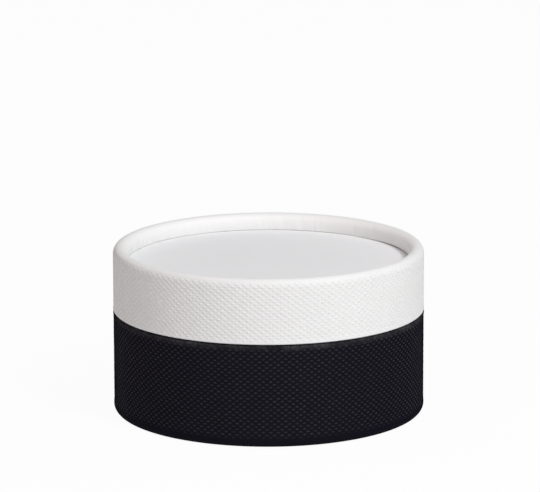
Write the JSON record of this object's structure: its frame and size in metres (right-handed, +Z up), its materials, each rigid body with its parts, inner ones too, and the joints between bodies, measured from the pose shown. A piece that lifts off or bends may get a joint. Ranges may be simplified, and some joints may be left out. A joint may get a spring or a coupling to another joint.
{
  "type": "round box",
  "caption": "Round paperboard box: embossed paper wraps, rolled rims that hold recessed discs, and a lift-off lid that slides over an inner neck, flush with the base.",
  "frame": {"origin": "on the box's axis, at the surface that it stands on", "axes": "+Z up along the box's axis, from the base to the lid; -Y towards the viewer of the picture, +X to the viewer's right"},
  "size_m": [0.09, 0.09, 0.0484],
  "materials": {
    "white_wrap": "matte",
    "pale_grey_paper": "matte",
    "black_wrap": "satin",
    "black_paper": "matte",
    "white_lining": "matte",
    "board": "matte"
  },
  "bodies": {
    "base": {"base_wrap": "black_wrap", "base_tube": "board", "base_disc": "board", "base_underside_paper": "black_paper", "neck_tube": "board", "neck_paper": "white_lining", "floor_paper": "white_lining"},
    "lid": {"lid_wrap": "white_wrap", "lid_tube": "board", "lid_top_paper": "pale_grey_paper", "lid_disc": "board", "lid_lining_paper": "white_lining"}
  },
  "joints": [
    {"name": "lid_lift", "type": "slide", "parent": "base", "child": "lid", "axis": [0, 0, 1], "range_m": [0, 0.04]}
  ]
}
